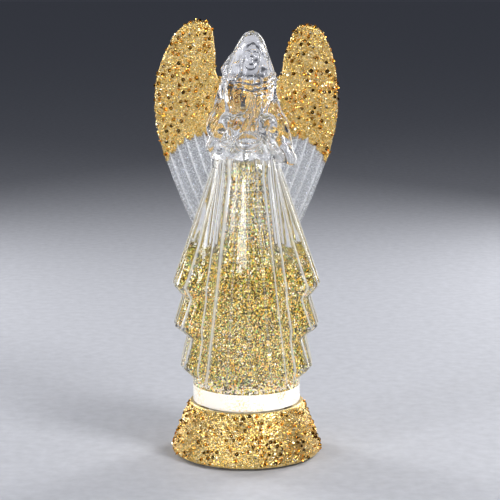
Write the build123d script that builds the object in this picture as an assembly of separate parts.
from build123d import *
import math
import os

os.makedirs("parts", exist_ok=True)

# Lighted angel figurine: a clear acrylic robe that is a sealed tank of glitter liquid, a clear bust
# and wings bonded on it, and a gold base with the batteries, lamp and magnetic stirrer.
# Millimetres, +Z up, origin on the table under the robe's axis. The angel faces -Y.

# ---------------------------------------------------------------- driving dimensions
# Base casing
BASE_FOOT_R = 53.0        # widest radius, just above the table
BASE_MID_R = 46.4
BASE_MID_Z = 23.6
BASE_TOP_R = 40.0
BASE_TOP_Z = 37.7
BASE_EDGE = 2.6           # rounding of the foot edge
COAT = 0.6                # glitter coat on the base
COAT_FOOT_GAP = 0.8       # bare edge left under the coat
CASING_WALL = 2.2
FOOT_PAD_H = 1.0
CASING_BOTTOM_Z = FOOT_PAD_H
LEDGE_BOTTOM_Z = 31.5     # ledge that carries the robe's collar
LEDGE_TOP_Z = 34.0
LEDGE_BORE_R = 33.0

# Robe tank: a collar, three hemmed tiers and a waist; each tier ends in a slanting underside
COLLAR_R = 38.2
WALL = 3.0
WAIST_Z = 213.0
TIER_POINTS = [           # (radius, height) down the side, from the waist to the collar
    (21.3, WAIST_Z),
    (52.1, 123.6), (45.0, 115.0),
    (51.3, 93.5), (42.0, 86.0),
    (47.0, 64.0), (COLLAR_R, 56.0),
]
FRONT_FOOT_Z = 50.0       # the plain front panel starts here
FRONT_MID = (34.8, 120.0)
FRONT_TOP = (25.2, 200.0)
FRONT_HALF_FOOT = 29.0    # half width of the front panel at its foot and at the waist
FRONT_HALF_TOP = 12.0
NOTCH_FOOT = 5.0          # the tiers part this far above the panel's foot
SPIGOT_R = 9.0
SPIGOT_H = 10.0
SHOULDER_POINTS = [       # (radius, height) of the liquid space above the first hem; the rest is solid
    (10.5, 210.0), (15.0, 158.0), (18.0, 150.0), (36.0, 144.0), (50.0, 124.0),
]
FLOOR_Z = 47.0            # underside of the tank's floor
FLOOR_T = 3.0
FLOOR_SKIRT_T = 2.0       # milky skirt that spreads the lamps' light round the collar
AIR_GAP = 4.0             # air left above the liquid

# Wings: flat plates that lean along the back of the bust
WING_T = 3.0
WING_LEAN = 0.25          # how far the plate goes back for each millimetre down
WING_SWEEP = 0.15         # how far it goes back for each millimetre out
WING_Y = 14.0             # front face on the centre line, at height WING_Z
WING_Z = 250.0
WING_COAT = 0.4
BOND_GAP = 0.5            # glue and coat between a wing and the bust
PEG_R = 2.0
PEG_LENGTH = 7.0
PEG_X = 9.0
PEG_HEIGHTS = (222.0, 248.0)

# Battery bay
CELL_R = 7.25
CELL_L = 50.5
CELL_PITCH = 15.0
CELL_COUNT = 3
BAY_W = 46.0
BAY_L = 58.0
BAY_WALL = 1.5
BAY_TOP_Z = 18.2
COVER_T = 2.2
COVER_TOP_Z = CASING_BOTTOM_Z + COVER_T
GAP = 0.3                 # play round the door and under the cells

# Stirrer and lamp, stacked on the axis
DECK_R = 37.4
DECK_Z = 20.4
DECK_T = 2.0
MOTOR_R = 12.2
MOTOR_H = 12.0
SHAFT_R = 1.0
HUB_R = 11.0
HUB_Z = 41.0
HUB_H = 5.0
BOARD_R = 31.0
BOARD_BORE_R = 14.0
BOARD_Z = 36.4
BOARD_T = 1.6
LED_R = 2.5
LED_H = 5.5
LED_CIRCLE = 20.0
LED_COUNT = 6
POST_R = 1.5
IMPELLER_R = 14.0
IMPELLER_Z = FLOOR_Z + FLOOR_T + 0.8
IMPELLER_H = 6.7
RUNNING_GAP = 0.06        # radial play of a shaft in its bearing
SEAT_GAP = 0.2            # play round a part that is glued or screwed in
CUT = 1.0                 # how far a cutter runs past the face that it opens
REACH = 60.0              # further out than any wall of the base or robe


# ---------------------------------------------------------------- helpers
def disc(radius, bottom, top, x=0.0, y=0.0):
    """Upright cylinder between two heights."""
    return Pos(x, y, (bottom + top) / 2) * Cylinder(radius, top - bottom)


def block(x_range, y_range, z_range):
    """Box between three pairs of limits."""
    size = [high - low for low, high in (x_range, y_range, z_range)]
    middle = [(high + low) / 2 for low, high in (x_range, y_range, z_range)]
    return Pos(*middle) * Box(*size)


def slab(bottom, top):
    """Everything between two heights."""
    return block((-REACH, REACH), (-REACH, REACH), (bottom, top))


def around(radius, angles):
    """Points on a circle about the axis, from angles in degrees."""
    return [(radius * math.cos(math.radians(a)), radius * math.sin(math.radians(a))) for a in angles]


def group(shapes):
    """Separate solids that share one node."""
    return Compound([shape.solid() for shape in shapes])


def save(name, shape):
    export_step(shape, f"parts/{name}.step")


CROSS_DEPTH = 0.5         # cross slot of a screw: shares of the head's height and radius
CROSS_REACH = 0.7
CROSS_HALF_W = 0.25


def screw(x, y, head_z, length, radius, head_r, head_h, down):
    """Round-headed screw with a cross slot; its head starts at head_z and its shank goes up or down."""
    way = -1 if down else 1
    head_end = head_z - way * head_h
    tip = head_z + way * length
    head = disc(head_r, min(head_z, head_end), max(head_z, head_end), x, y)
    shank = disc(radius, min(head_z, tip), max(head_z, tip), x, y)
    slot_end = head_end + way * CROSS_DEPTH * head_h
    slot_z = (min(head_end, slot_end), max(head_end, slot_end))
    long = CROSS_REACH * head_r
    cross = block((x - long, x + long), (y - CROSS_HALF_W, y + CROSS_HALF_W), slot_z)
    cross += block((x - CROSS_HALF_W, x + CROSS_HALF_W), (y - long, y + long), slot_z)
    return head + shank - cross


WIRE_R = 0.7
BEND_SHARE = 0.45         # how much of its shorter run each bend takes up


def lead(points):
    """Insulated wire along straight runs joined by tangent arcs."""
    bends = []
    for before, corner, after in zip(points, points[1:], points[2:]):
        run_in = Vector(*corner) - Vector(*before)
        run_out = Vector(*after) - Vector(*corner)
        turn = math.radians(run_in.get_angle(run_out))
        bends.append(BEND_SHARE * min(run_in.length, run_out.length) / math.tan(turn / 2))
    path = FilletPolyline(*points, radius=bends)
    section = Plane(origin=path @ 0, z_dir=path % 0) * Circle(WIRE_R)
    return sweep(section, path=path)


# ---------------------------------------------------------------- base casing
def base_form(inset):
    """The flared base as a solid of revolution, drawn in by inset all round its side."""
    foot_r = BASE_FOOT_R - inset
    edge_z = CASING_BOTTOM_Z + BASE_EDGE
    outline = [
        Line((0, CASING_BOTTOM_Z), (foot_r - BASE_EDGE, CASING_BOTTOM_Z)),
        RadiusArc((foot_r - BASE_EDGE, CASING_BOTTOM_Z), (foot_r, edge_z), -BASE_EDGE),
        ThreePointArc((foot_r, edge_z), (BASE_MID_R - inset, BASE_MID_Z), (BASE_TOP_R - inset, BASE_TOP_Z)),
        Line((BASE_TOP_R - inset, BASE_TOP_Z), (0, BASE_TOP_Z)),
        Line((0, BASE_TOP_Z), (0, CASING_BOTTOM_Z)),
    ]
    return revolve(Plane.XZ * make_face(outline), Axis.Z)


COVER_SCREW_R = 41.0
COVER_SCREW_ANGLES = (60, 180, 300)
COVER_BOSS_R = 3.2
COVER_BOSS_TOP_Z = 19.0
COVER_BOSS_ROOF = 3.0     # solid end of a boss above its screw hole
COVER_RIB_HALF_W = 1.0
DECK_SCREW_R = 34.6
DECK_SCREW_ANGLES = (30, 150, 270)
DECK_BOSS_R = 2.6
DECK_BOSS_ROOF = 2.0
SCREW_R = 1.25            # self-tapping screws of the casing
SCREW_PLAY = 0.1          # play of a screw in the hole that it passes through
SCREW_HEAD_R = 2.4
COVER_R = 49.3


def base_housing():
    """Flared shell with a ledge for the robe, three bosses for the cover and three for the deck."""
    shell = base_form(COAT)
    hollow = base_form(COAT + CASING_WALL) & slab(0, LEDGE_BOTTOM_Z)
    hollow += disc(COVER_R + GAP, 0, COVER_TOP_Z)
    shell -= hollow
    shell -= disc(LEDGE_BORE_R, LEDGE_BOTTOM_Z - CUT, LEDGE_TOP_Z)
    shell -= disc(COLLAR_R + SEAT_GAP, LEDGE_TOP_Z, BASE_TOP_Z + CUT)
    keep = base_form(COAT + CASING_WALL / 2)
    for angle, (x, y) in zip(COVER_SCREW_ANGLES, around(COVER_SCREW_R, COVER_SCREW_ANGLES)):
        rib_y = (-COVER_RIB_HALF_W, COVER_RIB_HALF_W)
        rib = Rot(0, 0, angle) * block((COVER_SCREW_R, BASE_FOOT_R), rib_y, (COVER_TOP_Z, COVER_BOSS_TOP_Z))
        boss = disc(COVER_BOSS_R, COVER_TOP_Z, COVER_BOSS_TOP_Z, x, y)
        shell += (rib + boss) & keep
        shell -= disc(SCREW_R, COVER_TOP_Z - CUT, COVER_BOSS_TOP_Z - COVER_BOSS_ROOF, x, y)
    for x, y in around(DECK_SCREW_R, DECK_SCREW_ANGLES):
        shell += disc(DECK_BOSS_R, DECK_Z + DECK_T, LEDGE_BOTTOM_Z + CUT / 2, x, y)
        shell -= disc(SCREW_R, DECK_Z, LEDGE_BOTTOM_Z - DECK_BOSS_ROOF, x, y)
    return shell


def base_glitter_coat():
    """Thin coat of glue, glitter and sequins on the outside of the casing."""
    coat = base_form(0) - base_form(COAT)
    return coat & slab(CASING_BOTTOM_Z + COAT_FOOT_GAP, BASE_TOP_Z)


# ---------------------------------------------------------------- bottom cover, door and switch
DOOR_W = BAY_W - 2 * GAP
DOOR_L = BAY_L - 2 * GAP
DOOR_T = 2.0
DOOR_Z = CASING_BOTTOM_Z + 0.1
HINGE_R = DOOR_T / 2
HINGE_Y = -DOOR_L / 2 + HINGE_R
HINGE_Z = DOOR_Z + HINGE_R
HINGE_PIN_R = 0.6
HINGE_PIN_L = 1.2
TAB_W = 8.0
TAB_Y = 36.0              # far end of the door's screw tab
TAB_SCREW_Y = 33.2
TAB_BOSS_HALF_W = 7.0
TAB_BOSS_H = 5.0
TAB_BOSS_END = 1.3        # boss beyond the end of the tab
HEAD_SINK = 1.0           # how deep the door screw's head sits
COVER_HEAD_SINK = 1.2
GRIP_COUNT = 4            # finger grooves across the door
GRIP_FIRST_Y = 14.0
GRIP_PITCH = 3.0
GRIP_W = 1.2
GRIP_HALF_L = 6.0
GRIP_DEPTH = 0.5
SWITCH_X = 36.0
KNOB_W = 3.0
KNOB_L = 4.0
KNOB_TRAVEL = 6.0
KNOB_REST_Y = -KNOB_TRAVEL / 2
SWITCH_W = 6.6
SWITCH_L = 14.0
SWITCH_TOP_Z = 9.0
SWITCH_FLOOR_Z = COVER_TOP_Z + 2.6    # top of the space that the knob slides in
KNOB_TOP_Z = COVER_TOP_Z + 2.2
KNOB_STANDS_OUT = 0.5     # knob below the cover's face
KNOB_RIDGE = 1.1          # pitch of the grooves on the knob
KNOB_GROOVE_HALF_W = 0.2
KNOB_GROOVE_DEPTH = 0.3
KNOB_SLOT_X = (SWITCH_X - KNOB_W / 2 - GAP, SWITCH_X + KNOB_W / 2 + GAP)
KNOB_SLOT_HALF = (KNOB_L + KNOB_TRAVEL) / 2 + GAP
FOOT_CIRCLE = 43.0
FOOT_PAD_R = 4.5
FOOT_ANGLES = (45, 135, 225, 315)
FOOT_BEVEL = 0.3


def bottom_cover():
    """Disc that closes the base, with the battery opening, switch slot and the door's screw boss."""
    cover = disc(COVER_R, CASING_BOTTOM_Z, COVER_TOP_Z)
    through = (CASING_BOTTOM_Z - CUT, COVER_TOP_Z + CUT)
    cover -= block((-BAY_W / 2, BAY_W / 2), (-BAY_L / 2, BAY_L / 2), through)
    cover -= block((-TAB_W / 2 - GAP, TAB_W / 2 + GAP), (BAY_L / 2 - CUT, TAB_Y + GAP), through)
    boss_y = (BAY_L / 2 + BAY_WALL + SEAT_GAP, TAB_Y + TAB_BOSS_END)
    boss = block((-TAB_BOSS_HALF_W, TAB_BOSS_HALF_W), boss_y, (COVER_TOP_Z, COVER_TOP_Z + TAB_BOSS_H))
    cover += boss - disc(SCREW_R + GAP, 0, COVER_TOP_Z + TAB_BOSS_H + CUT, 0, TAB_SCREW_Y)
    cover -= block(KNOB_SLOT_X, (-KNOB_SLOT_HALF, KNOB_SLOT_HALF), through)
    for x, y in around(COVER_SCREW_R, COVER_SCREW_ANGLES):
        cover -= disc(SCREW_R + SCREW_PLAY, 0, COVER_TOP_Z + CUT, x, y)
        cover -= disc(SCREW_HEAD_R + SEAT_GAP, 0, CASING_BOTTOM_Z + COVER_HEAD_SINK, x, y)
    pin_bore = Pos(0, HINGE_Y, HINGE_Z) * Rot(0, 90, 0)
    pin_bore *= Cylinder(HINGE_PIN_R + RUNNING_GAP, BAY_W + 2 * HINGE_PIN_L + 2 * SEAT_GAP)
    return cover - pin_bore


def battery_door():
    """Door with a round hinge edge, two stub pins and a screw tab."""
    door_z = (DOOR_Z, DOOR_Z + DOOR_T)
    door = block((-DOOR_W / 2, DOOR_W / 2), (HINGE_Y, DOOR_L / 2), door_z)
    door += block((-TAB_W / 2, TAB_W / 2), (DOOR_L / 2, TAB_Y), door_z)
    door += Pos(0, HINGE_Y, HINGE_Z) * Rot(0, 90, 0) * Cylinder(HINGE_R, DOOR_W)
    door += Pos(0, HINGE_Y, HINGE_Z) * Rot(0, 90, 0) * Cylinder(HINGE_PIN_R, DOOR_W + 2 * HINGE_PIN_L)
    door -= disc(SCREW_R, 0, DOOR_Z + DOOR_T + CUT, 0, TAB_SCREW_Y)
    door -= disc(SCREW_HEAD_R + SCREW_PLAY, 0, DOOR_Z + HEAD_SINK, 0, TAB_SCREW_Y)
    for row in range(GRIP_COUNT):
        groove_y = GRIP_FIRST_Y + GRIP_PITCH * row
        door -= block((-GRIP_HALF_L, GRIP_HALF_L), (groove_y, groove_y + GRIP_W), (0, DOOR_Z + GRIP_DEPTH))
    return door


def door_screw():
    return screw(0, TAB_SCREW_Y, DOOR_Z + HEAD_SINK, 5.6, SCREW_R, SCREW_HEAD_R, 0.9, down=False)


def cover_screws():
    places = around(COVER_SCREW_R, COVER_SCREW_ANGLES)
    head_z = CASING_BOTTOM_Z + COVER_HEAD_SINK
    return group([screw(x, y, head_z, 9.0, SCREW_R, SCREW_HEAD_R, 1.1, down=False) for x, y in places])


def switch_body():
    """Slide switch on the inside of the cover, open underneath for its knob."""
    x_range = (SWITCH_X - SWITCH_W / 2, SWITCH_X + SWITCH_W / 2)
    body = block(x_range, (-SWITCH_L / 2, SWITCH_L / 2), (COVER_TOP_Z, SWITCH_TOP_Z))
    return body - block(KNOB_SLOT_X, (-KNOB_SLOT_HALF, KNOB_SLOT_HALF), (COVER_TOP_Z - CUT, SWITCH_FLOOR_Z))


def switch_knob():
    knob_x = (SWITCH_X - KNOB_W / 2, SWITCH_X + KNOB_W / 2)
    knob_y = (KNOB_REST_Y - KNOB_L / 2, KNOB_REST_Y + KNOB_L / 2)
    knob_low_z = CASING_BOTTOM_Z - KNOB_STANDS_OUT
    knob = block(knob_x, knob_y, (knob_low_z, KNOB_TOP_Z))
    for row in (-1, 0, 1):
        middle = KNOB_REST_Y + KNOB_RIDGE * row
        groove_y = (middle - KNOB_GROOVE_HALF_W, middle + KNOB_GROOVE_HALF_W)
        knob -= block(knob_x, groove_y, (0, knob_low_z + KNOB_GROOVE_DEPTH))
    return knob


def rubber_feet():
    pads = [disc(FOOT_PAD_R, 0, FOOT_PAD_H, x, y) for x, y in around(FOOT_CIRCLE, FOOT_ANGLES)]
    return group([chamfer(pad.edges().group_by(Axis.Z)[0], FOOT_BEVEL) for pad in pads])


# ---------------------------------------------------------------- battery bay
CELL_Z = COVER_TOP_Z + GAP + CELL_R
CONTACT_T = 0.4
CONTACT_HALF = 5.0
CELL_Y = (BAY_L - CELL_L) / 2 - CONTACT_T - 0.05    # each cell sits against its plus contact
PLUS_R = 2.7
PLUS_H = 1.0
SPRING_WIRE_R = 0.35
SPRING_R = 3.2
SPRING_TURNS = 2.5
TRAY_RIB_HALF_W = 0.25
TRAY_RIB_H = 5.0


def cell_places():
    """Sideways place of each cell, and the way its plus end points along Y."""
    first = -(CELL_COUNT - 1) / 2 * CELL_PITCH
    return [(first + i * CELL_PITCH, 1 if i % 2 else -1) for i in range(CELL_COUNT)]


def battery_tray():
    """Open-bottomed tray over the cells, with low ribs between them."""
    half_w = BAY_W / 2
    half_l = BAY_L / 2
    outer_x = (-half_w - BAY_WALL, half_w + BAY_WALL)
    outer_y = (-half_l - BAY_WALL, half_l + BAY_WALL)
    tray = block(outer_x, outer_y, (COVER_TOP_Z, BAY_TOP_Z + BAY_WALL))
    tray -= block((-half_w, half_w), (-half_l, half_l), (COVER_TOP_Z - CUT, BAY_TOP_Z))
    for x in (-CELL_PITCH / 2, CELL_PITCH / 2):
        rib_x = (x - TRAY_RIB_HALF_W, x + TRAY_RIB_HALF_W)
        tray += block(rib_x, (-half_l, half_l), (BAY_TOP_Z - TRAY_RIB_H, BAY_TOP_Z))
    return tray


def battery_cells():
    cells = []
    for x, way in cell_places():
        middle_y = way * CELL_Y
        body_y = middle_y - way * PLUS_H / 2
        plus_y = middle_y + way * (CELL_L - PLUS_H) / 2
        body = Pos(x, body_y, CELL_Z) * Rot(90, 0, 0) * Cylinder(CELL_R, CELL_L - PLUS_H)
        plus = Pos(x, plus_y, CELL_Z) * Rot(90, 0, 0) * Cylinder(PLUS_R, PLUS_H)
        cells.append(body + plus)
    return group(cells)


def battery_contacts():
    """Plated strips at both ends of the bay."""
    strips = []
    y = BAY_L / 2 - CONTACT_T
    for x, way in cell_places():
        for side in (-1, 1):
            y_range = sorted((side * y, side * (y + CONTACT_T)))
            x_range = (x - CONTACT_HALF, x + CONTACT_HALF)
            strips.append(block(x_range, y_range, (CELL_Z - CONTACT_HALF, CELL_Z + CONTACT_HALF)))
    return group(strips)


def battery_springs():
    """One coil spring behind each cell's flat end."""
    springs = []
    for x, way in cell_places():
        start = way * (CELL_Y - CELL_L / 2)
        rise = BAY_L / 2 - CONTACT_T - abs(start) - 2 * SPRING_WIRE_R
        coil = Helix(pitch=rise / SPRING_TURNS, height=rise, radius=SPRING_R)
        section = Plane(origin=coil @ 0, z_dir=coil % 0) * Circle(SPRING_WIRE_R)
        spring = sweep(section, path=coil, is_frenet=True)
        turn = 90 if way > 0 else -90
        offset_y = start - way * SPRING_WIRE_R
        springs.append(Pos(x, offset_y, CELL_Z) * Rot(turn, 0, 0) * spring)
    return group(springs)


# ---------------------------------------------------------------- stirrer and lamp
DECK_TOP_Z = DECK_Z + DECK_T
MOTOR_TOP_Z = DECK_TOP_Z + MOTOR_H
STANDOFF_CIRCLE = 27.0
STANDOFF_ANGLES = (90, 210, 330)
STANDOFF_R = 2.6
SMALL_SCREW_R = 1.0
SMALL_HEAD_R = 1.9
MOTOR_SCREW_X = 8.0
MOTOR_BOSS_R = 3.5
MOTOR_BOSS_H = 1.2
MOTOR_ROUNDING = 1.0
HUB_BOSS_R = 3.2
HUB_BOSS_H = 3.0
HUB_ROOF = 1.5            # hub above the end of the shaft
HUB_BEVEL = 0.4
LED_RIM_R = LED_R + 0.4
LED_RIM_H = 1.0
LED_FIRST_ANGLE = 30
BATTERY_LEAD_HOLE = (-9.25, 31.8)
SWITCH_LEAD_HOLE = (31.8, 0.0)
LEAD_HOLE_R = 2.6
MAGNET_R = 3.0
MAGNET_H = 2.5
MAGNET_CIRCLE = 7.0


def motor_deck():
    """Plate under the ledge that carries the motor and, on three standoffs, the lamp board."""
    deck = disc(DECK_R, DECK_Z, DECK_TOP_Z)
    for x, y in around(STANDOFF_CIRCLE, STANDOFF_ANGLES):
        deck += disc(STANDOFF_R, DECK_Z, BOARD_Z, x, y)
        deck -= disc(SMALL_SCREW_R, BOARD_Z - 6, BOARD_Z + CUT, x, y)
    for x, y in around(DECK_SCREW_R, DECK_SCREW_ANGLES):
        deck -= disc(SCREW_R + SCREW_PLAY, DECK_Z - CUT, DECK_TOP_Z + CUT, x, y)
    for x, y in (BATTERY_LEAD_HOLE, SWITCH_LEAD_HOLE):
        deck -= disc(LEAD_HOLE_R, DECK_Z - CUT, DECK_TOP_Z + CUT, x, y)
    for x in (-MOTOR_SCREW_X, MOTOR_SCREW_X):
        deck -= disc(SMALL_SCREW_R + SCREW_PLAY, DECK_Z - CUT, DECK_TOP_Z + CUT, x, 0)
    return deck


def deck_screws():
    places = around(DECK_SCREW_R, DECK_SCREW_ANGLES)
    return group([screw(x, y, DECK_Z, 7.0, SCREW_R, 2.3, 0.6, down=False) for x, y in places])


def motor_can():
    """Flat direct-current motor: a can with a raised bearing boss, bored for the shaft and screws."""
    can = disc(MOTOR_R, DECK_TOP_Z, MOTOR_TOP_Z)
    can = fillet(can.edges().group_by(Axis.Z)[-1], MOTOR_ROUNDING)
    can += disc(MOTOR_BOSS_R, MOTOR_TOP_Z, MOTOR_TOP_Z + MOTOR_BOSS_H)
    can -= disc(SHAFT_R + RUNNING_GAP, DECK_TOP_Z + 2, MOTOR_TOP_Z + 2)
    for x in (-MOTOR_SCREW_X, MOTOR_SCREW_X):
        can -= disc(SMALL_SCREW_R, DECK_TOP_Z - CUT, DECK_TOP_Z + 3, x, 0)
    return can


def motor_screws():
    length = DECK_T + 2.6
    sizes = (length, SMALL_SCREW_R, SMALL_HEAD_R, 0.6)
    return group([screw(x, 0, DECK_Z, *sizes, down=False) for x in (-MOTOR_SCREW_X, MOTOR_SCREW_X)])


def motor_shaft():
    return disc(SHAFT_R, DECK_TOP_Z + 2.4, HUB_Z + HUB_H - HUB_ROOF)


def magnet_places(circle):
    return ((-circle, 0), (circle, 0))


def drive_hub():
    """Hub on the motor shaft with two magnet pockets in its top."""
    hub = disc(HUB_R, HUB_Z, HUB_Z + HUB_H) + disc(HUB_BOSS_R, HUB_Z - HUB_BOSS_H, HUB_Z)
    hub = chamfer(hub.edges().group_by(Axis.Z)[-1], HUB_BEVEL)
    hub -= disc(SHAFT_R, HUB_Z - HUB_BOSS_H - CUT, HUB_Z + HUB_H - HUB_ROOF)
    for x, y in magnet_places(MAGNET_CIRCLE):
        hub -= disc(MAGNET_R, HUB_Z + HUB_H - MAGNET_H, HUB_Z + HUB_H + CUT, x, y)
    return hub


def drive_magnets():
    top = HUB_Z + HUB_H
    return group([disc(MAGNET_R, top - MAGNET_H, top, x, y) for x, y in magnet_places(MAGNET_CIRCLE)])


def led_board():
    """Ring-shaped circuit board round the motor's top."""
    through = (BOARD_Z - CUT, BOARD_Z + BOARD_T + CUT)
    board = disc(BOARD_R, BOARD_Z, BOARD_Z + BOARD_T) - disc(BOARD_BORE_R, *through)
    for x, y in around(STANDOFF_CIRCLE, STANDOFF_ANGLES):
        board -= disc(SMALL_SCREW_R + SCREW_PLAY, *through, x, y)
    return board


def board_screws():
    places = around(STANDOFF_CIRCLE, STANDOFF_ANGLES)
    head_z = BOARD_Z + BOARD_T
    return group([screw(x, y, head_z, 6.0, SMALL_SCREW_R, SMALL_HEAD_R, 1.2, down=True) for x, y in places])


def leds():
    """Domed lamps in a ring."""
    base_z = BOARD_Z + BOARD_T
    lamps = []
    for x, y in around(LED_CIRCLE, [LED_FIRST_ANGLE + i * 360 / LED_COUNT for i in range(LED_COUNT)]):
        lamp = disc(LED_RIM_R, base_z, base_z + LED_RIM_H, x, y)
        lamp += disc(LED_R, base_z, base_z + LED_H - LED_R, x, y)
        lamp += Pos(x, y, base_z + LED_H - LED_R) * Sphere(LED_R)
        lamps.append(lamp)
    return group(lamps)


def battery_leads():
    """Two wires from the bay's end, through the deck, to the underside of the board."""
    wires = []
    hole_x, hole_y = BATTERY_LEAD_HOLE
    for x in (hole_x - 1.2, hole_x + 1.2):
        wires.append(lead([(x, hole_y, 12), (x, hole_y, 27), (x, 28.5, 32.5), (x, 28.5, BOARD_Z)]))
    return group(wires)


def switch_leads():
    wires = []
    hole_x, hole_y = SWITCH_LEAD_HOLE
    for y in (hole_y - 1.2, hole_y + 1.2):
        wires.append(lead([(SWITCH_X, y, SWITCH_TOP_Z), (SWITCH_X, y, 12.5), (hole_x, y, 17.0),
                           (hole_x, y, 25.0), (28.0, y, 31.5), (28.0, y, BOARD_Z)]))
    return group(wires)


def motor_leads():
    wires = []
    for x in (-2.5, 2.5):
        side_y = -math.sqrt(MOTOR_R ** 2 - x ** 2)
        wires.append(lead([(x, -17.0, BOARD_Z), (x, -17.0, 31.0), (x, side_y, 27.5)]))
    return group([wire - disc(MOTOR_R, DECK_TOP_Z, MOTOR_TOP_Z) for wire in wires])


# ---------------------------------------------------------------- tank floor and impeller
FLOOR_TOP_Z = FLOOR_Z + FLOOR_T
TANK_BORE_R = COLLAR_R - WALL
PLUG_Y = 24.0
PLUG_R = 3.0
POST_TOP_Z = 60.0
POST_DEPTH = 2.0          # how far the post goes into the floor
CAP_R = 3.0
CAP_TOP_Z = POST_TOP_Z + 0.8
CAP_GRIP = 2.0
STIR_SPACE_R = IMPELLER_R + 1.0
BLADE_ANGLES = (45, 135, 225, 315)
BLADE_HALF_T = 0.6
CARRIER_R = 10.0
CARRIER_H = 3.2
IMPELLER_HUB_R = 3.6
IMPELLER_MAGNET_R = 2.5
IMPELLER_MAGNET_H = 2.4
IMPELLER_MAGNET_CIRCLE = 6.5
SKIRT_BOTTOM_Z = BOARD_Z + BOARD_T + 0.4
PLUG_FLANGE = 1.4
PLUG_FLANGE_T = 1.2


def tank_floor():
    """Milky cup that closes the tank from below, with the filling hole and a blind hole for the post."""
    outer_r = TANK_BORE_R - 0.05
    floor = disc(outer_r, SKIRT_BOTTOM_Z, FLOOR_TOP_Z)
    floor -= disc(outer_r - FLOOR_SKIRT_T, SKIRT_BOTTOM_Z - CUT, FLOOR_Z)
    floor -= disc(PLUG_R, FLOOR_Z - CUT, FLOOR_TOP_Z + CUT, 0, PLUG_Y)
    return floor - disc(POST_R, FLOOR_TOP_Z - POST_DEPTH, FLOOR_TOP_Z + CUT)


def fill_plug():
    """Rubber plug pushed into the filling hole from below."""
    plug = disc(PLUG_R, FLOOR_Z, FLOOR_TOP_Z, 0, PLUG_Y)
    return plug + disc(PLUG_R + PLUG_FLANGE, FLOOR_Z - PLUG_FLANGE_T, FLOOR_Z, 0, PLUG_Y)


def impeller_post():
    return disc(POST_R, FLOOR_TOP_Z - POST_DEPTH, POST_TOP_Z)


def post_cap():
    cap = disc(CAP_R, POST_TOP_Z - CAP_GRIP, CAP_TOP_Z)
    cap -= disc(POST_R, POST_TOP_Z - CAP_GRIP - CUT, POST_TOP_Z)
    return chamfer(cap.edges().group_by(Axis.Z)[-1], 0.5)


def impeller():
    """Magnet carrier with four upright blades that stir the glitter."""
    top = IMPELLER_Z + IMPELLER_H
    wheel = disc(CARRIER_R, IMPELLER_Z, IMPELLER_Z + CARRIER_H) + disc(IMPELLER_HUB_R, IMPELLER_Z, top)
    for angle in BLADE_ANGLES:
        blade_x = (POST_R + CUT, IMPELLER_R)
        wheel += Rot(0, 0, angle) * block(blade_x, (-BLADE_HALF_T, BLADE_HALF_T), (IMPELLER_Z, top))
    wheel -= disc(POST_R + RUNNING_GAP, IMPELLER_Z - CUT, top + CUT)
    for x, y in magnet_places(IMPELLER_MAGNET_CIRCLE):
        wheel -= disc(IMPELLER_MAGNET_R, IMPELLER_Z - CUT, IMPELLER_Z + IMPELLER_MAGNET_H, x, y)
    return wheel


def impeller_magnets():
    top = IMPELLER_Z + IMPELLER_MAGNET_H
    places = magnet_places(IMPELLER_MAGNET_CIRCLE)
    return group([disc(IMPELLER_MAGNET_R, IMPELLER_Z, top, x, y) for x, y in places])


# ---------------------------------------------------------------- robe tank and liquid
BORE_TOP_Z = FRONT_FOOT_Z + 8.0       # the round bore for the floor runs up to here
LIQUID_GAP = 0.1                      # keeps the liquid's solid off the walls
STIR_SPACE_TOP_Z = POST_TOP_Z + 1.5


def drawn_in(points, inset):
    """Open outline, walked with the axis on its right, moved inwards with its corners kept sharp."""
    runs = []
    for start, end in zip(points, points[1:]):
        way = (Vector(*end) - Vector(*start)).normalized()
        runs.append((Vector(*start) + Vector(way.Y, -way.X) * inset, way))
    corners = [runs[0][0]]
    for (before, way_in), (after, way_out) in zip(runs, runs[1:]):
        gap = after - before
        cross = way_in.X * way_out.Y - way_in.Y * way_out.X
        corners.append(before + way_in * ((gap.X * way_out.Y - gap.Y * way_out.X) / cross))
    last, way = runs[-1]
    corners.append(last + way * (Vector(*points[-1]) - Vector(*points[-2])).length)
    return [(corner.X, corner.Y) for corner in corners]


def tier_form(inset):
    """Collar, tiers and waist as a solid of revolution, drawn in by inset everywhere."""
    side = drawn_in([(0, WAIST_Z)] + TIER_POINTS + [(COLLAR_R, LEDGE_TOP_Z)], inset)
    outline = make_face(Polyline(*side, (0, side[-1][1]), close=True))
    return revolve(Plane.XZ * outline, Axis.Z)


def front_form(inset):
    """Body of revolution whose front shows as the plain panel."""
    foot_r = COLLAR_R - inset
    outline = [
        Line((0, LEDGE_TOP_Z), (foot_r, LEDGE_TOP_Z)),
        Line((foot_r, LEDGE_TOP_Z), (foot_r, FRONT_FOOT_Z)),
        ThreePointArc((foot_r, FRONT_FOOT_Z), (FRONT_MID[0] - inset, FRONT_MID[1]),
                      (FRONT_TOP[0] - inset, FRONT_TOP[1])),
        Line((FRONT_TOP[0] - inset, FRONT_TOP[1]), (FRONT_TOP[0] - inset, WAIST_Z + CUT)),
        Line((FRONT_TOP[0] - inset, WAIST_Z + CUT), (0, WAIST_Z + CUT)),
        Line((0, WAIST_Z + CUT), (0, LEDGE_TOP_Z)),
    ]
    return revolve(Plane.XZ * make_face(outline), Axis.Z)


def front_notch(inset):
    """Wedge in front of the panel where the tiers are left out."""
    low = FRONT_FOOT_Z + NOTCH_FOOT
    high = FRONT_TOP[1]
    half_low = FRONT_HALF_FOOT + inset
    half_high = FRONT_HALF_TOP + inset
    corners = [(-half_low, low), (half_low, low), (half_high, high), (-half_high, high)]
    wedge = extrude(Plane.XZ * make_face(Polyline(*corners, close=True)), amount=REACH)
    return wedge - front_form(inset)


def robe_form(inset):
    return tier_form(inset) - front_notch(inset)


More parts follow.
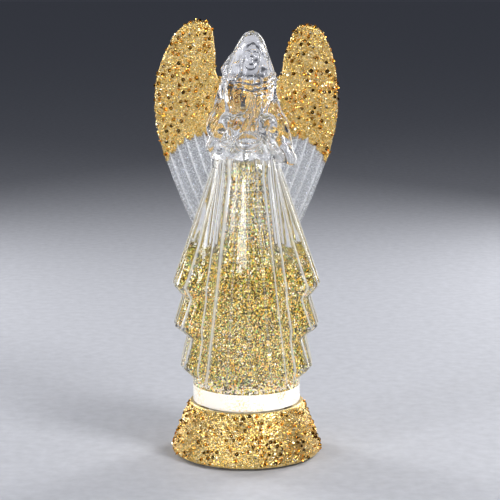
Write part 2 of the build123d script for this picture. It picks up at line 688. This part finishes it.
def liquid_space(slack):
    """Inside of the tank: a wall's thickness in from the tiers, and a narrow neck up to the waist."""
    inside = robe_form(WALL + slack) + disc(TANK_BORE_R - slack, LEDGE_TOP_Z - CUT, BORE_TOP_Z)
    neck = [(r - slack, z) for r, z in SHOULDER_POINTS]
    wide = [(REACH, neck[-1][1]), (REACH, 0), (0, 0)]
    outline = Polyline((0, WAIST_Z), (neck[0][0], WAIST_Z), *neck, *wide, close=True)
    return inside & revolve(Plane.XZ * make_face(outline), Axis.Z)


def robe_tank():
    """Hollow robe: open at the foot, closed at the waist, with a spigot that the bust sits on."""
    return robe_form(0) - liquid_space(0) + disc(SPIGOT_R, WAIST_Z - CUT / 2, WAIST_Z + SPIGOT_H)


def glitter_liquid():
    """The liquid fills the tank above its floor, clear of the impeller, up to a small air space."""
    fill_top_z = WAIST_Z - WALL - AIR_GAP
    liquid = liquid_space(LIQUID_GAP) & slab(FLOOR_TOP_Z, fill_top_z)
    return liquid - disc(STIR_SPACE_R, FLOOR_TOP_Z, STIR_SPACE_TOP_Z)


# ---------------------------------------------------------------- wings
WING_PLANE = Plane(origin=(0, WING_Y, WING_Z), x_dir=(1, WING_SWEEP, 0), z_dir=(WING_SWEEP, -1, -WING_LEAN))

# Outlines in the front view, as (distance from the centre line, height); the tips differ a little.
ROOT = [(34.0, 159.0), (20.0, 186.0), (9.0, 205.0), (3.2, 222.0), (1.8, 245.0), (4.5, 259.5)]
RIGHT_TIP = [(24.0, 267.0), (27.6, 282.0), (34.6, 299.5), (42.5, 303.0), (51.2, 299.0), (59.5, 283.0)]
LEFT_TIP = [(21.0, 267.0), (22.7, 284.0), (25.0, 301.0), (33.0, 306.4), (45.5, 301.0), (56.8, 283.0)]
OUTER = [(63.4, 262.0), (63.9, 238.0), (59.2, 212.5), (51.0, 186.5), (40.5, 160.5), (36.8, 156.0)]
GROWN_POINTS = 60         # points that carry the grown outline
BELOW_WING = 200.0        # past the wing's lower tip, on its own plane
THROUGH_WING = 20.0
COAT_EDGE = [(-5.0, 226.0), (30.0, 226.0), (44.0, 221.5), (52.5, 213.0), (58.0, 204.0), (80.0, 196.0)]


def on_wing(point):
    """Point of the front view, taken onto the wing's own plane."""
    x, z = point
    y = WING_Y + WING_SWEEP * x + WING_LEAN * (WING_Z - z)
    place = WING_PLANE.to_local_coords(Vector(x, y, z))
    return (place.X, place.Y)


def wing_face(tip, grow=0.0):
    """Wing outline as a face; grow moves it outwards all round."""
    outline = Spline(*[on_wing(p) for p in ROOT + tip + OUTER], periodic=True)
    if grow:
        steps = [i / GROWN_POINTS for i in range(GROWN_POINTS)]
        outward = [Vector(-(outline % t).Y, (outline % t).X) for t in steps]
        outline = Spline(*[outline @ t + way * grow for t, way in zip(steps, outward)], periodic=True)
    return make_face(outline)


def peg(height, radius, reach):
    """Round peg that stands forward from the wing's front face."""
    x, y = on_wing((PEG_X, height))
    return WING_PLANE * Pos(x, y, reach / 2) * Cylinder(radius, reach)


def right_wing(tip):
    plate = extrude(WING_PLANE * wing_face(tip), amount=-WING_T)
    for height in PEG_HEIGHTS:
        plate += peg(height, PEG_R, PEG_LENGTH)
    return plate


def right_wing_coat(tip):
    """Glitter and sequins over the upper part of a wing, front, back and edge."""
    front = WING_PLANE * Pos(0, 0, WING_COAT)
    body = extrude(front * wing_face(tip, WING_COAT), amount=-WING_T - 2 * WING_COAT)
    body -= extrude(WING_PLANE * wing_face(tip), amount=-WING_T)
    edge = [on_wing(p) for p in COAT_EDGE]
    below = [(edge[-1][0], -BELOW_WING), (edge[0][0], -BELOW_WING)]
    outline = [Spline(*edge), Polyline(edge[-1], *below, edge[0])]
    body -= extrude(WING_PLANE * make_face(outline), amount=THROUGH_WING, both=True)
    for height in PEG_HEIGHTS:
        x, y = on_wing((PEG_X, height))
        body -= WING_PLANE * Pos(x, y, 1.0) * Cylinder(PEG_R + GAP, 4.0)
    return body


def mirrored(shape):
    return mirror(shape, about=Plane.YZ)


# ---------------------------------------------------------------- bust
HEAD_X = 2.5              # the head is turned and bowed a little to one side
HEAD_Y = -9.0
HEAD_Z = 281.0
HEAD_R = 10.0
VEIL_RINGS = [(20.0, 256.0), (18.2, 273.0), (12.4, 286.0)]
VEIL_TOP_Z = 301.0
VEIL_BACK = 3.0           # the veil's middle behind the head's
CROWN_R = 11.9
TRUNK_R = (25.0, 17.0)    # at the waist and at the shoulders
TRUNK_TOP_Z = 260.2
TRUNK_Y = -2.0
SLEEVE_R = (7.5, 12.5)
HAND_R = (5.5, 2.2)
SEAT_LIFT = 0.2           # glue under the bust
SOCKET_PLAY = 0.05


def limb(start, end, start_r, end_r):
    """Tapered limb between two points with round ends."""
    way = Vector(*end) - Vector(*start)
    middle = (Vector(*start) + Vector(*end)) * 0.5
    cone = Plane(origin=middle, z_dir=way) * Cone(start_r, end_r, way.length)
    return cone + Pos(*start) * Sphere(start_r) + Pos(*end) * Sphere(end_r)


def bust():
    """Head under a veil, draped sleeves and hands held together, as one clear moulding."""
    trunk_z = (WAIST_Z + SEAT_LIFT + TRUNK_TOP_Z) / 2
    body = Pos(0, TRUNK_Y, trunk_z) * Cone(*TRUNK_R, TRUNK_TOP_Z - WAIST_Z - SEAT_LIFT)
    veil_y = HEAD_Y + VEIL_BACK
    for (low_r, low_z), (high_r, high_z) in zip(VEIL_RINGS, VEIL_RINGS[1:]):
        body += Pos(HEAD_X, veil_y, (low_z + high_z) / 2) * Cone(low_r, high_r, high_z - low_z)
    body += Pos(HEAD_X, veil_y, VEIL_TOP_Z - CROWN_R) * Sphere(CROWN_R)
    body += Pos(HEAD_X, HEAD_Y - 2, HEAD_Z) * Sphere(HEAD_R)
    body += limb((-14, -4, 254), (-17, -14, 218), *SLEEVE_R)
    body += limb((14, -4, 254), (20, -13, 217), *SLEEVE_R)
    body += limb((-2.6, -23, 226), (-1.4, -21, 252), *HAND_R)
    body += limb((2.6, -23, 226), (1.4, -21, 252), *HAND_R)
    body -= slab(0, WAIST_Z + SEAT_LIFT)
    body -= disc(SPIGOT_R + SOCKET_PLAY, WAIST_Z - CUT, WAIST_Z + SPIGOT_H + GAP)
    behind = WING_PLANE * Pos(REACH, 0, BOND_GAP - REACH / 2) * Box(2 * REACH, 2 * REACH, REACH)
    body -= behind
    body -= mirrored(behind)
    for height in PEG_HEIGHTS:
        socket = peg(height, PEG_R + SOCKET_PLAY, PEG_LENGTH + GAP)
        body -= socket
        body -= mirrored(socket)
    return body


# ---------------------------------------------------------------- write every node
NODES = {
    "base_housing": base_housing(),
    "base_glitter_coat": base_glitter_coat(),
    "bottom_cover": bottom_cover(),
    "battery_door": battery_door(),
    "door_screw": door_screw(),
    "cover_screws": cover_screws(),
    "switch_body": switch_body(),
    "switch_knob": switch_knob(),
    "rubber_feet": rubber_feet(),
    "battery_tray": battery_tray(),
    "battery_cells": battery_cells(),
    "battery_contacts": battery_contacts(),
    "battery_springs": battery_springs(),
    "battery_leads": battery_leads(),
    "switch_leads": switch_leads(),
    "motor_deck": motor_deck(),
    "deck_screws": deck_screws(),
    "motor_can": motor_can(),
    "motor_screws": motor_screws(),
    "motor_leads": motor_leads(),
    "motor_shaft": motor_shaft(),
    "drive_hub": drive_hub(),
    "drive_magnets": drive_magnets(),
    "led_board": led_board(),
    "leds": leds(),
    "board_screws": board_screws(),
    "tank_floor": tank_floor(),
    "fill_plug": fill_plug(),
    "impeller_post": impeller_post(),
    "post_cap": post_cap(),
    "impeller": impeller(),
    "impeller_magnets": impeller_magnets(),
    "robe_tank": robe_tank(),
    "glitter_liquid": glitter_liquid(),
    "angel_bust": bust(),
    "wing_right": right_wing(RIGHT_TIP),
    "wing_left": mirrored(right_wing(LEFT_TIP)),
    "wing_right_coat": right_wing_coat(RIGHT_TIP),
    "wing_left_coat": mirrored(right_wing_coat(LEFT_TIP)),
}
for name, shape in NODES.items():
    save(name, shape)
